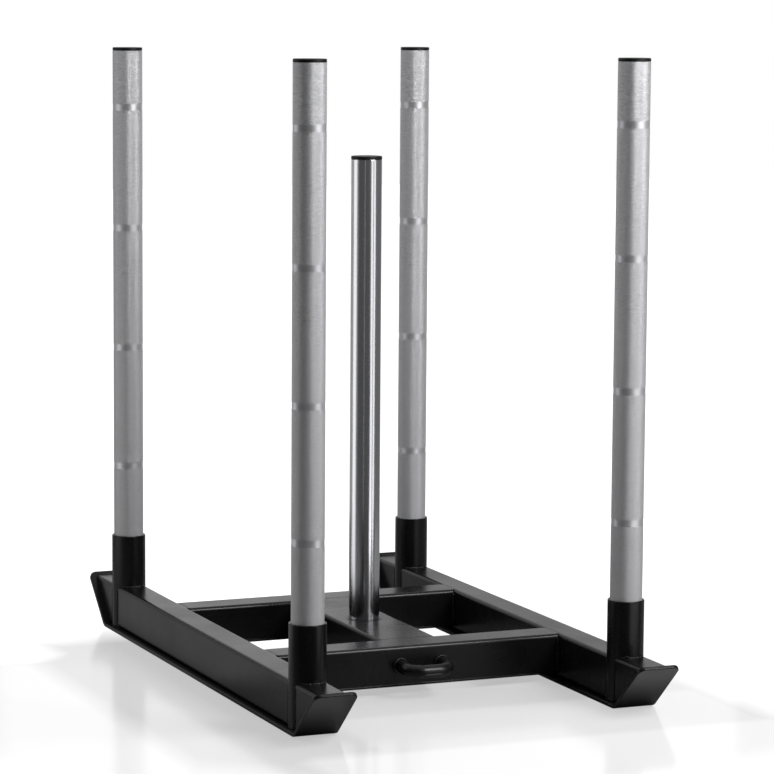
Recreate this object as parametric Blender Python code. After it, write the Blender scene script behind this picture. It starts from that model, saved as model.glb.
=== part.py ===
"""Weight sled.

A welded steel frame stands on two skids that turn up at both ends. Four knurled
uprights drop into round sockets at the corners, and a smooth loading post drops
into a socket in the middle. A bent bar on the front crossbar is the tow eye.

Metres, +Z up. X runs across the sled, and -Y is the front, the end with the tow
eye. The origin is on the floor, under the middle of the frame.
"""

import math

import bmesh
import bpy
from mathutils import Matrix, Vector

GAP = 0.0003                    # between two pieces that touch or are welded
MERGE_DISTANCE = 1e-6
SHARP_ANGLE = math.radians(32)  # between two faces, above which their edge is drawn sharp
AXIS_SIZE = 0.05                # of an empty that marks the axis of a loose post

# Skids: flat bar, bent up at both ends
TRACK = 0.528                   # between the middles of the two skids
SKID_WIDTH = 0.070
SKID_THICKNESS = 0.006
SKID_FLAT_LENGTH = 0.904        # between the corners that the two bends round off
SKID_TIP_ANGLE = math.radians(42)
SKID_TIP_LENGTH = 0.115         # along the underside, from such a corner to the end
SKID_BEND_RADIUS = 0.012        # on the inside of the bend
SKID_CORNER_RADIUS = 0.012      # of the bar's own four corners

# Side rails: rectangular tube on the skids, notched round the sockets
RAIL_WIDTH = 0.050
RAIL_HEIGHT = 0.070
RAIL_CORNER_RADIUS = 0.006

# Crossbars and centre beam: tube, level with the top of the rails
CROSSBAR_WIDTH = 0.060
CROSSBAR_HEIGHT = 0.065         # of the beam as well
CROSSBAR_SPACING = 0.410        # between the middles of the two crossbars
BEAM_WIDTH = 0.100
CROSS_CORNER_RADIUS = 0.006
TUBE_WALL = 0.003

# Sockets: round tube, upright
SOCKET_SPACING = 0.838          # between a front and a rear socket
SOCKET_DIAMETER = 0.057
SOCKET_BORE = 0.051
SOCKET_TOP = 0.164
SOCKET_FOOT_GAP = 0.0006        # weld gap over the start of the skid's bend
CENTRE_SOCKET_DIAMETER = 0.060
CENTRE_SOCKET_BORE = 0.052

# Uprights and centre post: round tube with a plastic cap and a plastic foot plug
POST_DIAMETER = 0.050
POST_WALL = 0.003
UPRIGHT_TOP = 0.990             # of the steel, under its cap
CENTRE_POST_TOP = 0.8245
BAND_COUNT = 4                  # smooth bands in the knurling of an upright
BAND_PITCH = 0.2032
BAND_FROM_TOP = 0.095           # from the top of the steel to the first band's middle
BAND_HEIGHT = 0.011
KNURL_DEPTH = 0.0003
CAP_FLANGE = 0.005
CAP_STUB = 0.022
CAP_EDGE = 0.0012
PLUG_FLANGE = 0.003
PLUG_STUB = 0.018
PLUG_INSET = 0.0005             # of the plug's rim inside the tube's
PLASTIC_WALL = 0.0025

# Tow eye: round bar bent to a U, welded to the front crossbar
TOW_BAR_DIAMETER = 0.020
TOW_HALF_WIDTH = 0.035          # from the middle to a leg's centreline
TOW_REACH = 0.042               # from the crossbar's face to the centreline
TOW_BEND_RADIUS = 0.024
TOW_FOOT_HEIGHT = 0.0455
TOW_DROOP = math.tan(math.radians(4))

# How finely round shapes are divided
POST_SIDES = 32
SOCKET_SIDES = 40
CORNER_STEPS = 4
BEND_STEPS = 3
TOW_SIDES = 20
TOW_BEND_STEPS = 10

DECK = SKID_THICKNESS + GAP + RAIL_HEIGHT          # top of the rails and crossbars
CROSSBAR_MIDDLE = DECK - CROSSBAR_HEIGHT / 2
FRONT_FACE = -(CROSSBAR_SPACING + CROSSBAR_WIDTH) / 2

BLACK = (0.006, 0.006, 0.0065)
SKID_BLACK = (0.005, 0.005, 0.0055)
KNURLED_GREY = (0.52, 0.53, 0.55)
POLISHED_GREY = (0.62, 0.63, 0.65)
PLASTIC_BLACK = (0.014, 0.014, 0.015)


def clear_scene():
    for thing in list(bpy.data.objects):
        bpy.data.objects.remove(thing, do_unlink=True)


def make_material(name, colour, roughness, metallic):
    material = bpy.data.materials.new(name)
    material.use_nodes = True
    shader = material.node_tree.nodes["Principled BSDF"]
    shader.inputs["Base Color"].default_value = (*colour, 1.0)
    shader.inputs["Roughness"].default_value = roughness
    shader.inputs["Metallic"].default_value = metallic
    material.diffuse_color = (*colour, 1.0)
    return material


def mesh_from(bm, name):
    """Closes the work on a bmesh and gives it as a mesh, smooth over its round parts."""
    bmesh.ops.recalc_face_normals(bm, faces=bm.faces)
    mesh = bpy.data.meshes.new(name)
    bm.to_mesh(mesh)
    bm.free()
    mesh.shade_smooth()
    mesh.set_sharp_from_angle(angle=SHARP_ANGLE)
    return mesh


def add_object(name, mesh, material, location=(0, 0, 0), turn=0.0, parent=None):
    """Puts a mesh in the scene, turned about Z by an angle."""
    thing = bpy.data.objects.new(name, mesh)
    bpy.context.collection.objects.link(thing)
    if not mesh.materials:
        mesh.materials.append(material)
    thing.location = location
    thing.rotation_euler = (0, 0, turn)
    thing.parent = parent
    return thing


def add_axis(name, location):
    """An empty on the line along which a loose piece lifts out."""
    axis = bpy.data.objects.new(name, None)
    axis.empty_display_size = AXIS_SIZE
    axis.location = location
    bpy.context.collection.objects.link(axis)
    return axis


def carved(mesh, cutters):
    """The mesh with each cutter taken away from it."""
    body = bpy.data.objects.new("carved", mesh)
    bpy.context.collection.objects.link(body)
    tools = []
    for cutter in cutters:
        tool = bpy.data.objects.new("cutter", cutter)
        tool.hide_render = True
        tool.display_type = "WIRE"
        bpy.context.collection.objects.link(tool)
        tools.append(tool)
        modifier = body.modifiers.new("cut", "BOOLEAN")
        modifier.operation = "DIFFERENCE"
        modifier.solver = "EXACT"
        modifier.object = tool
    depsgraph = bpy.context.evaluated_depsgraph_get()
    result = bpy.data.meshes.new_from_object(body.evaluated_get(depsgraph))
    for thing in [body, *tools]:
        bpy.data.objects.remove(thing, do_unlink=True)
    result.shade_smooth()
    result.set_sharp_from_angle(angle=SHARP_ANGLE)
    return result


def join_loops(bm, first, second):
    """Quads between two closed loops with the same number of vertices."""
    count = len(first)
    for i in range(count):
        k = (i + 1) % count
        bm.faces.new((first[i], first[k], second[k], second[i]))


def rounded_rectangle(width, height, radius):
    """Outline centred on the origin, one arc for each corner."""
    points = []
    for quarter, (side_x, side_y) in enumerate(((1, 1), (-1, 1), (-1, -1), (1, -1))):
        centre = Vector((side_x * (width / 2 - radius), side_y * (height / 2 - radius)))
        for step in range(CORNER_STEPS + 1):
            angle = math.radians(90) * (quarter + step / CORNER_STEPS)
            points.append(centre + radius * Vector((math.cos(angle), math.sin(angle))))
    return points


def box_tube(name, width, height, corner_radius, start, end):
    """Rectangular tube along Y with its middle at the height of the origin, open at both ends."""
    outside = rounded_rectangle(width, height, corner_radius)
    inside = rounded_rectangle(width - 2 * TUBE_WALL, height - 2 * TUBE_WALL, corner_radius - TUBE_WALL)
    bm = bmesh.new()
    loops = []
    for outline, y in ((outside, start), (outside, end), (inside, end), (inside, start)):
        loops.append([bm.verts.new((x, y, z)) for x, z in outline])
    for k, loop in enumerate(loops):
        join_loops(bm, loop, loops[(k + 1) % len(loops)])
    return mesh_from(bm, name)


def cylinder(name, radius, bottom, top, centre=(0, 0), sides=SOCKET_SIDES):
    bm = bmesh.new()
    place = Matrix.Translation((*centre, (bottom + top) / 2))
    bmesh.ops.create_cone(bm, cap_ends=True, segments=sides, radius1=radius, radius2=radius,
                          depth=top - bottom, matrix=place)
    return mesh_from(bm, name)


def turned(name, outline, sides, closed):
    """Solid turned about Z from (radius, height) points.

    A closed outline makes a ring; an open one starts and ends on the axis.
    """
    bm = bmesh.new()
    verts = [bm.verts.new((radius, 0, height)) for radius, height in outline]
    edges = [bm.edges.new(pair) for pair in zip(verts, verts[1:])]
    if closed:
        edges.append(bm.edges.new((verts[-1], verts[0])))
    bmesh.ops.spin(bm, geom=verts + edges, cent=(0, 0, 0), axis=(0, 0, 1), dvec=(0, 0, 0),
                   angle=math.tau, steps=sides, use_merge=True, use_duplicate=False)
    bmesh.ops.remove_doubles(bm, verts=bm.verts, dist=MERGE_DISTANCE)
    return mesh_from(bm, name)


def ring_outline(outer_radius, inner_radius, bottom, top):
    return [(outer_radius, bottom), (outer_radius, top), (inner_radius, top), (inner_radius, bottom)]


def skid_line(height):
    """One half of the line that lies a height above the bar's underside, as (y, z).

    It runs along the flat, round the bend and up the tip of the bar.
    """
    centre_height = SKID_BEND_RADIUS + SKID_THICKNESS
    bend_start = SKID_FLAT_LENGTH / 2 - centre_height * math.tan(SKID_TIP_ANGLE / 2)
    radius = centre_height - height
    line = []
    for step in range(BEND_STEPS + 1):
        angle = SKID_TIP_ANGLE * step / BEND_STEPS
        line.append(Vector((bend_start + radius * math.sin(angle), centre_height - radius * math.cos(angle))))
    along = Vector((math.cos(SKID_TIP_ANGLE), math.sin(SKID_TIP_ANGLE)))
    across = Vector((-along.y, along.x))
    line.append(Vector((SKID_FLAT_LENGTH / 2, 0)) + SKID_TIP_LENGTH * along + height * across)
    return line


def extruded_side(bm, outline, width):
    """Fills a (y, z) outline and extrudes it across the sled, centred on X = 0."""
    verts = [bm.verts.new((-width / 2, y, z)) for y, z in outline]
    face = bm.faces.new(verts)
    grown = bmesh.ops.extrude_face_region(bm, geom=[face])
    moved = [item for item in grown["geom"] if isinstance(item, bmesh.types.BMVert)]
    bmesh.ops.translate(bm, verts=moved, vec=(width, 0, 0))


def skid_mesh():
    """Flat bar bent up at both ends, with the corners of both ends rounded."""
    underside = skid_line(0.0)
    upper = skid_line(SKID_THICKNESS)
    outline = [Vector((-y, z)) for y, z in reversed(underside)] + underside
    outline += list(reversed(upper)) + [Vector((-y, z)) for y, z in upper]
    bm = bmesh.new()
    extruded_side(bm, outline, SKID_WIDTH)
    corners = []
    for edge in bm.edges:
        at_tip = min(abs(vert.co.y) for vert in edge.verts) > (SKID_FLAT_LENGTH + SKID_TIP_LENGTH) / 2
        if at_tip and edge.calc_length() < SKID_THICKNESS + GAP:
            corners.append(edge)
    bmesh.ops.bevel(bm, geom=corners, offset=SKID_CORNER_RADIUS, offset_type="OFFSET",
                    segments=CORNER_STEPS + 1, profile=0.5, affect="EDGES")
    return mesh_from(bm, "skid")


def below_skid_mesh():
    """Cutter for a rail end: all that is under the rear tip's upper face, with the weld gap."""
    line = skid_line(SKID_THICKNESS + GAP)
    direction = (line[-1] - line[-2]).normalized()
    far_tip = line[-1] + direction * RAIL_HEIGHT
    floor = -RAIL_HEIGHT
    start = SOCKET_SPACING / 2 - SOCKET_DIAMETER
    outline = [Vector((start, line[0].y)), *line, far_tip, Vector((far_tip.x, floor)), Vector((start, floor))]
    bm = bmesh.new()
    extruded_side(bm, outline, 2 * RAIL_WIDTH)
    return mesh_from(bm, "below_skid")


def socket_hole(y):
    """Cutter for the notch that a rail or rail end has round a socket."""
    return cylinder("notch", SOCKET_DIAMETER / 2 + GAP, -RAIL_HEIGHT, RAIL_HEIGHT, (0, y))


def raised(mesh, height):
    mesh.transform(Matrix.Translation((0, 0, height)))
    return mesh


def rail_mesh():
    """Side rail from socket to socket, its middle at the height of the origin."""
    reach = SOCKET_SPACING / 2
    tube = box_tube("rail", RAIL_WIDTH, RAIL_HEIGHT, RAIL_CORNER_RADIUS, -reach, reach)
    return carved(tube, [socket_hole(-reach), socket_hole(reach)])


def rail_end_mesh():
    """Short rail behind the rear socket, cut on the slope of the skid's tip."""
    start = SOCKET_SPACING / 2
    end = SKID_FLAT_LENGTH / 2 + SKID_TIP_LENGTH
    middle = DECK - RAIL_HEIGHT / 2
    tube = box_tube("rail_end", RAIL_WIDTH, RAIL_HEIGHT, RAIL_CORNER_RADIUS, start, end)
    slope = raised(below_skid_mesh(), -middle)
    return carved(tube, [socket_hole(start), slope])


def beam_mesh():
    """Wide tube between the crossbars, with a round hole in its top wall for the socket."""
    half = (CROSSBAR_SPACING - CROSSBAR_WIDTH) / 2 - GAP
    tube = box_tube("centre_beam", BEAM_WIDTH, CROSSBAR_HEIGHT, CROSS_CORNER_RADIUS, -half, half)
    hole = cylinder("hole", CENTRE_SOCKET_DIAMETER / 2 + GAP, 0.0, CROSSBAR_HEIGHT)
    return carved(tube, [hole])


def tow_path():
    """Centreline of the U in plan: out along one leg, round both bends and back."""
    start = FRONT_FACE - GAP
    bend_y = FRONT_FACE - TOW_REACH + TOW_BEND_RADIUS
    bend_x = TOW_HALF_WIDTH - TOW_BEND_RADIUS
    path = [(Vector((-TOW_HALF_WIDTH, start)), math.pi)]
    for side in (-1, 1):
        for step in range(TOW_BEND_STEPS + 1):
            angle = math.pi + math.pi / 2 * ((step / TOW_BEND_STEPS) + (0 if side < 0 else 1))
            spot = Vector((side * bend_x, bend_y)) + TOW_BEND_RADIUS * Vector((math.cos(angle), math.sin(angle)))
            path.append((spot, angle))
    path.append((Vector((TOW_HALF_WIDTH, start)), math.tau))
    return path


def tow_eye_mesh():
    """Round bar along the U, drooping evenly from its feet to its front."""
    bm = bmesh.new()
    rings = []
    radius = TOW_BAR_DIAMETER / 2
    for spot, outward in tow_path():
        ring = []
        for side in range(TOW_SIDES):
            angle = math.tau * side / TOW_SIDES
            plan = spot + radius * math.cos(angle) * Vector((math.cos(outward), math.sin(outward)))
            droop = TOW_DROOP * (FRONT_FACE - plan.y)
            ring.append(bm.verts.new((plan.x, plan.y, TOW_FOOT_HEIGHT + radius * math.sin(angle) - droop)))
        rings.append(ring)
    for ring, following in zip(rings, rings[1:]):
        join_loops(bm, ring, following)
    bm.faces.new(rings[0])
    bm.faces.new(rings[-1])
    return mesh_from(bm, "tow_eye")


def upright_mesh(bottom, top):
    """Knurled tube whose smooth bands lie a little under the knurling."""
    radius = POST_DIAMETER / 2
    outside = [(radius, bottom)]
    for band in reversed(range(BAND_COUNT)):
        middle = top - BAND_FROM_TOP - band * BAND_PITCH
        low = middle - BAND_HEIGHT / 2
        high = middle + BAND_HEIGHT / 2
        outside += [(radius, low), (radius - KNURL_DEPTH, low), (radius - KNURL_DEPTH, high), (radius, high)]
    outside.append((radius, top))
    inside = radius - POST_WALL
    return turned("upright", outside + [(inside, top), (inside, bottom)], POST_SIDES, closed=True)


def cap_mesh():
    """Plastic cap: a flange on the tube's rim at height 0 and a hollow stub inside the tube."""
    rim = POST_DIAMETER / 2
    stub = rim - POST_WALL - GAP
    outline = [(0, GAP + CAP_FLANGE), (rim - CAP_EDGE, GAP + CAP_FLANGE), (rim, GAP + CAP_FLANGE - CAP_EDGE),
               (rim, GAP), (stub, GAP), (stub, -CAP_STUB), (stub - PLASTIC_WALL, -CAP_STUB),
               (stub - PLASTIC_WALL, 0), (0, 0)]
    return turned("cap", outline, POST_SIDES, closed=False)


def plug_mesh():
    """Plastic foot plug: a thin flange from height 0 up, and a hollow stub above it."""
    rim = POST_DIAMETER / 2 - PLUG_INSET
    stub = POST_DIAMETER / 2 - POST_WALL - GAP
    top = PLUG_FLANGE + PLUG_STUB
    outline = [(0, 0), (rim, 0), (rim, PLUG_FLANGE), (stub, PLUG_FLANGE), (stub, top),
               (stub - PLASTIC_WALL, top), (stub - PLASTIC_WALL, PLUG_FLANGE), (0, PLUG_FLANGE)]
    return turned("plug", outline, POST_SIDES, closed=False)


def build_skids_and_rails(paint, skid_paint):
    skid = skid_mesh()
    rail = rail_mesh()
    rail_end = rail_end_mesh()
    bottom = SKID_THICKNESS + SOCKET_FOOT_GAP
    socket = turned("socket", ring_outline(SOCKET_DIAMETER / 2, SOCKET_BORE / 2, bottom, SOCKET_TOP),
                    SOCKET_SIDES, closed=True)
    middle = DECK - RAIL_HEIGHT / 2
    for side, x in (("left", -TRACK / 2), ("right", TRACK / 2)):
        add_object(side + "_skid", skid, skid_paint, (x, 0, 0))
        add_object(side + "_rail", rail, paint, (x, 0, middle))
        for end, y, turn in (("front", -SOCKET_SPACING / 2, math.pi), ("rear", SOCKET_SPACING / 2, 0.0)):
            add_object(f"{side}_{end}_rail_end", rail_end, paint, (x, 0, middle), turn)
            add_object(f"{side}_{end}_socket", socket, paint, (x, y, 0))


def build_crossbars_and_beam(paint):
    half = (TRACK - RAIL_WIDTH) / 2 - GAP
    crossbar = box_tube("crossbar", CROSSBAR_WIDTH, CROSSBAR_HEIGHT, CROSS_CORNER_RADIUS, -half, half)
    for end, y in (("front", -CROSSBAR_SPACING / 2), ("rear", CROSSBAR_SPACING / 2)):
        add_object(end + "_crossbar", crossbar, paint, (0, y, CROSSBAR_MIDDLE), math.pi / 2)
    add_object("centre_beam", beam_mesh(), paint, (0, 0, CROSSBAR_MIDDLE))
    floor = DECK - CROSSBAR_HEIGHT + TUBE_WALL + GAP
    socket = turned("centre_socket", ring_outline(CENTRE_SOCKET_DIAMETER / 2, CENTRE_SOCKET_BORE / 2, floor, DECK),
                    SOCKET_SIDES, closed=True)
    add_object("centre_socket", socket, paint)
    add_object("tow_eye", tow_eye_mesh(), paint)


def build_post(name, spot, tube, tube_material, foot, top, cap, plug, plastic):
    """One loose post: its tube, its cap and its foot plug, on an empty at its axis."""
    axis = add_axis(name + "_axis", (*spot, 0))
    add_object(name, tube, tube_material, parent=axis)
    add_object(name + "_cap", cap, plastic, (0, 0, top), parent=axis)
    add_object(name + "_plug", plug, plastic, (0, 0, foot), parent=axis)


def build_posts(knurled, polished, plastic):
    cap = cap_mesh()
    plug = plug_mesh()
    rise = PLUG_FLANGE + GAP

    foot = SKID_THICKNESS + GAP
    upright = upright_mesh(foot + rise, UPRIGHT_TOP)
    for side, x in (("left", -TRACK / 2), ("right", TRACK / 2)):
        for end, y in (("front", -SOCKET_SPACING / 2), ("rear", SOCKET_SPACING / 2)):
            build_post(f"{side}_{end}_upright", (x, y), upright, knurled, foot, UPRIGHT_TOP, cap, plug, plastic)

    foot = DECK - CROSSBAR_HEIGHT + TUBE_WALL + GAP
    radius = POST_DIAMETER / 2
    outline = ring_outline(radius, radius - POST_WALL, foot + rise, CENTRE_POST_TOP)
    post = turned("centre_post", outline, POST_SIDES, closed=True)
    build_post("centre_post", (0, 0), post, polished, foot, CENTRE_POST_TOP, cap, plug, plastic)


def main():
    clear_scene()
    paint = make_material("black_powder_coat", BLACK, 0.45, 0.0)
    skid_paint = make_material("black_powder_coat_on_skids", SKID_BLACK, 0.5, 0.0)
    knurled = make_material("knurled_steel", KNURLED_GREY, 0.38, 1.0)
    polished = make_material("polished_steel", POLISHED_GREY, 0.12, 1.0)
    plastic = make_material("black_plastic", PLASTIC_BLACK, 0.5, 0.0)
    build_skids_and_rails(paint, skid_paint)
    build_crossbars_and_beam(paint)
    build_posts(knurled, polished, plastic)


if __name__ == "__main__":
    main()
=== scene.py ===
import math
from collections import namedtuple

import bmesh
import bpy
import numpy as np
from mathutils import Matrix, Vector


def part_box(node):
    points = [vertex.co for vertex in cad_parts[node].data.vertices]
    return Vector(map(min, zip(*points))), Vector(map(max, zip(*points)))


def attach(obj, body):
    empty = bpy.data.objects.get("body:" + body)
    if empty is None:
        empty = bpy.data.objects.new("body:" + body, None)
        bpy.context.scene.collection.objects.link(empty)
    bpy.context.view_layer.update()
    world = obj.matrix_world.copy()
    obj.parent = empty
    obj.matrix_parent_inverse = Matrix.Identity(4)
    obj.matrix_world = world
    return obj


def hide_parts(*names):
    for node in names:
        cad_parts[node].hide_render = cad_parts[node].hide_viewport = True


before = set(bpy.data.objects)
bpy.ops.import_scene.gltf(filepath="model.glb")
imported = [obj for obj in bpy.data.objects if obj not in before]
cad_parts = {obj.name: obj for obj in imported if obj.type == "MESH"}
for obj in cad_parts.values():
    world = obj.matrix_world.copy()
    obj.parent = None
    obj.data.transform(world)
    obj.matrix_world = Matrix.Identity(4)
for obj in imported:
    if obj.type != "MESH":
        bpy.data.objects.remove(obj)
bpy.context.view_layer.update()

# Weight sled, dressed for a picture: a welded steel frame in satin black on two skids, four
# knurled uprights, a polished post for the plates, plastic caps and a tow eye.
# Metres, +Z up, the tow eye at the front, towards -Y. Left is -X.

bl_info = {
    "name": "Weight sled",
    "version": (1, 0, 0),
    "blender": (4, 5, 0),
    "location": "3D View > Sidebar > Sled",
    "description": "Surfaces and finishes for a weight sled, over its solids",
    "category": "Object",
}

SIDES = (("left", -1), ("right", 1))
ENDS = (("front", -1), ("rear", 1))
CORNERS = [(f"{side}_{end}", x, y) for side, x in SIDES for end, y in ENDS]
MERGE_DISTANCE = 1e-7
SHARP_ANGLE = math.radians(40)
QUARTER_TURN = np.pi / 2
FULL_TURN = 2 * math.pi
# Gap between pieces that are welded or pushed together
JOINT_GAP = 0.0003
TUBE_SIDES = 96


# Places and sizes that come from the solids

Place = namedtuple("Place", "x y z width depth height front low rear top")


def place_of(solid):
    """Middle, size and limits of a solid's box: front and rear along Y, low and top along Z."""
    low, high = (np.array(corner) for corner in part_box(solid))
    return Place(*((low + high) / 2).tolist(), *(high - low).tolist(), *low[1:].tolist(), *high[1:].tolist())


RAIL = place_of("right_rail")
RAIL_END = place_of("right_rear_rail_end")
SOCKET = place_of("right_rear_socket")
CROSSBAR = place_of("rear_crossbar")
BEAM = place_of("centre_beam")
CENTRE_SOCKET = place_of("centre_socket")
DECK = RAIL.top
SKID_WIDTH = place_of("right_skid").width
SOCKET_RADIUS = SOCKET.width / 2
POST_RADIUS = place_of("centre_post").width / 2
FRONT_FACE = place_of("front_crossbar").front


def socket_centre(x, y):
    """Where the corner socket on a side (x) and at an end (y) stands; both are -1 or 1."""
    return x * RAIL.x, y * SOCKET.y


# Values of the sidebar: a length in metres, an angle given in degrees, a colour and a share

def length(name, description, default):
    return bpy.props.FloatProperty(name=name, description=description, default=default, min=0.0,
                                   precision=4, unit="LENGTH", subtype="DISTANCE")


def angle(name, description, default):
    return bpy.props.FloatProperty(name=name, description=description, default=math.radians(default),
                                   subtype="ANGLE", unit="ROTATION")


def colour(name, description, default):
    return bpy.props.FloatVectorProperty(name=name, description=description, default=default,
                                         size=3, min=0.0, max=1.0, subtype="COLOR")


def share(name, description, default):
    return bpy.props.FloatProperty(name=name, description=description, default=default,
                                   min=0.0, max=1.0, subtype="FACTOR")


class SledSizes(bpy.types.PropertyGroup):
    """Sizes of the sled's forms that its solids don't give directly."""

    skid_thickness: length("Skid thickness", "Thickness of the skids' flat bar", 0.006)
    skid_flat: length("Skid flat", "Length between the corners that the bends round off", 0.904)
    skid_tip: length("Skid tip", "Length of a tip along its underside, from such a corner", 0.115)
    skid_tip_angle: angle("Tip angle", "Rise of a skid's tip", 42.0)
    skid_bend: length("Skid bend", "Radius on the inside of the bend", 0.012)
    skid_corner: length("Skid corner", "Radius of the bar's own corners, seen from above", 0.012)
    skid_edge: length("Skid edge", "Radius of the bar's long edges", 0.0012)
    tube_corner: length("Tube corner", "Outer radius of the rectangular tubes' corners", 0.006)
    tube_end: length("Tube end", "Radius of a crossbar's edges where it meets another tube", 0.0008)
    socket_wall: length("Socket wall", "Wall of the four corner sockets", 0.003)
    socket_rim: length("Socket rim", "Radius of the sockets' upper edge", 0.0011)
    centre_ring: length("Centre ring", "Width and height of the ring that shows round the centre post", 0.004)
    post_wall: length("Post wall", "Wall of the uprights and of the centre post", 0.003)
    post_edge: length("Post edge", "Bevel or radius of the edges at a post's ends", 0.0004)
    band_pitch: length("Band pitch", "Distance between the uprights' smooth bands", 0.2032)
    band_from_top: length("First band", "From the top of the steel to the first band's middle", 0.095)
    band_height: length("Band height", "Height of a smooth band", 0.011)
    band_depth: length("Band depth", "Depth of a smooth band under the knurling", 0.0003)
    plastic_wall: length("Plastic wall", "Wall of the hollow stubs of caps and plugs", 0.0025)
    tow_bar: length("Tow bar", "Diameter of the tow eye's bar", 0.020)
    tow_half: length("Tow half width", "From the middle to the centreline of a leg", 0.035)
    tow_reach: length("Tow reach", "From the crossbar to the centreline of the tow eye's front", 0.042)
    tow_bend: length("Tow bend", "Radius of the tow eye's bends at the centreline", 0.024)
    tow_foot: length("Tow foot", "Height of the tow eye's feet", 0.0455)
    tow_droop: angle("Tow droop", "Fall of the tow eye from its feet to its front", 4.0)
    weld: length("Weld", "Radius of the weld beads", 0.0022)
    weld_step: length("Weld step", "Length of one ripple of a weld bead", 0.0028)


class SledFinishes(bpy.types.PropertyGroup):
    """Colours and surfaces of the sled."""

    frame_black: colour("Frame", "Powder coat of the frame", (0.006, 0.006, 0.0065))
    skid_black: colour("Skids", "Powder coat of the skids", (0.005, 0.005, 0.0055))
    knurled_grey: colour("Knurled steel", "Knurling of the uprights", (0.605, 0.605, 0.615))
    band_grey: colour("Bands", "Smooth bands of the uprights", (0.50, 0.50, 0.52))
    polished_grey: colour("Polished steel", "Steel of the centre post", (0.62, 0.62, 0.645))
    plastic_black: colour("Plastic", "Caps and foot plugs", (0.008, 0.008, 0.0085))
    coat_roughness: share("Coat roughness", "Roughness of the powder coat", 0.26)
    knurl_pitch: length("Knurl pitch", "Distance between the grooves round an upright", 0.0016)


class SledStudio(bpy.types.PropertyGroup):
    """Camera, floor and light."""

    lens: bpy.props.FloatProperty(name="Lens", description="Focal length", default=151.27,
                                  min=1.0, unit="CAMERA")
    place: bpy.props.FloatVectorProperty(name="Camera", description="Where the camera stands",
                                         default=(-2.003561, -4.827893, 1.098654), size=3,
                                         subtype="TRANSLATION", unit="LENGTH")
    yaw: angle("Yaw", "Turn of the view about the vertical, from +Y towards +X", 22.924)
    pitch: angle("Pitch", "Fall of the view below the horizon", 7.006)
    roll: angle("Roll", "Turn of the camera about its view", 0.4)
    floor_white: colour("Floor", "Colour of the floor", (0.40, 0.40, 0.40))
    floor_lift: share("Floor lift", "Light that the camera adds to the floor near the sled", 0.48)
    floor_mirror: share("Floor mirror", "Share of the floor's light that it mirrors", 0.22)
    soft_light: share("Soft light", "Even light from all round", 0.14)


def chosen(context):
    """The sizes and the finishes that the sidebar shows."""
    return context.scene.sled_sizes, context.scene.sled_finishes


# Surfaces, each worked out as whole arrays: its points, and its faces as lists of their numbers

# Points round the edge at the end of a rectangular tube
TUBE_END_POINTS = 4
# Points over a skid's edge, along half its flat, along a bend and round a corner
EDGE_POINTS, FLAT_POINTS, BEND_POINTS, CORNER_POINTS = 5, 9, 11, 10
# A weld bead: points round it, points along one ripple, fewest points along it, and the ripple's share
BEAD_SIDES, RIPPLE_POINTS, LEAST_POINTS, RIPPLE = 10, 5, 12, 0.16
# Sines of its wander: share of the radius, radians per metre along, radians per metre of a coordinate of
# the path's start, and which coordinate that is
WANDER = ((0.09, 310, 90, 0), (0.07, 830, 50, 1))


def grid_quads(rows, columns, close_rows=False, close_columns=True):
    """Quads of a grid of points that are stored row after row.

    Point (i, j) has number i * columns + j, and a closed direction joins its last line to its first.
    """
    i, j = np.meshgrid(np.arange(rows - (not close_rows)), np.arange(columns - (not close_columns)),
                       indexing="ij")
    i_next, j_next = (i + 1) % rows, (j + 1) % columns
    quads = np.stack([i * columns + j, i * columns + j_next,
                      i_next * columns + j_next, i_next * columns + j], -1)
    return quads.reshape(-1, 4).tolist()


def ring_face(row, columns):
    """One face over a whole row of a grid."""
    return [row * columns + k for k in range(columns)]


def capped_tube(rows, columns):
    """Faces of a tube of rings, with a face over its first ring and one over its last."""
    return [*grid_quads(rows, columns), ring_face(0, columns), ring_face(rows - 1, columns)]


def rungs(right, left):
    """Quads like the rungs of a ladder between two chains of points of the same length."""
    return np.stack([right[:-1], right[1:], left[1:], left[:-1]], 1).tolist()


def points_at(x, y, z):
    """Points from their coordinates, each an array or one number for all."""
    return np.stack(np.broadcast_arrays(x, y, z), -1)


def unit(vectors):
    """Each row of an array, divided by its length."""
    return vectors / np.linalg.norm(vectors, axis=1)[:, None]


def filleted(points, radii, steps):
    """A line through points whose corners are arcs.

    At a corner the arc's centre lies on the bisector at radius / sin(half angle), the arc starts at
    radius / tan(half angle) from the corner, and its points turn evenly from one leg to the other.
    """
    points = np.asarray(points, float)
    line = [points[:1]]
    for before, corner, after, radius in zip(points, points[1:], points[2:], radii):
        if radius <= 0:
            line.append(corner[None])
            continue
        first, second = unit(np.stack([before - corner, after - corner]))
        half = np.arccos(np.clip(first @ second, -1, 1)) / 2
        bisector = (first + second) / np.linalg.norm(first + second)
        centre = corner + bisector * radius / np.sin(half)
        out = (corner + first * radius / np.tan(half) - centre) / radius
        along = (corner - centre) / radius
        along = along - (along @ out) * out
        along /= np.linalg.norm(along)
        turn = np.linspace(0, np.pi - 2 * half, steps + 1)[:, None]
        line.append(centre + radius * (np.cos(turn) * out + np.sin(turn) * along))
    line.append(points[-1:])
    return np.concatenate(line)


def turned(profile, centre, sides, closed):
    """Surface of revolution: a (radius, height) point at angle a lies at centre + radius (cos a, sin a)."""
    profile = np.asarray(profile, float)
    around = np.arange(sides) * FULL_TURN / sides
    radius, height = profile[:, :1], profile[:, 1:]
    points = points_at(centre[0] + radius * np.cos(around), centre[1] + radius * np.sin(around), height)
    return points.reshape(-1, 3), grid_quads(len(profile), sides, close_rows=closed)


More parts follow.
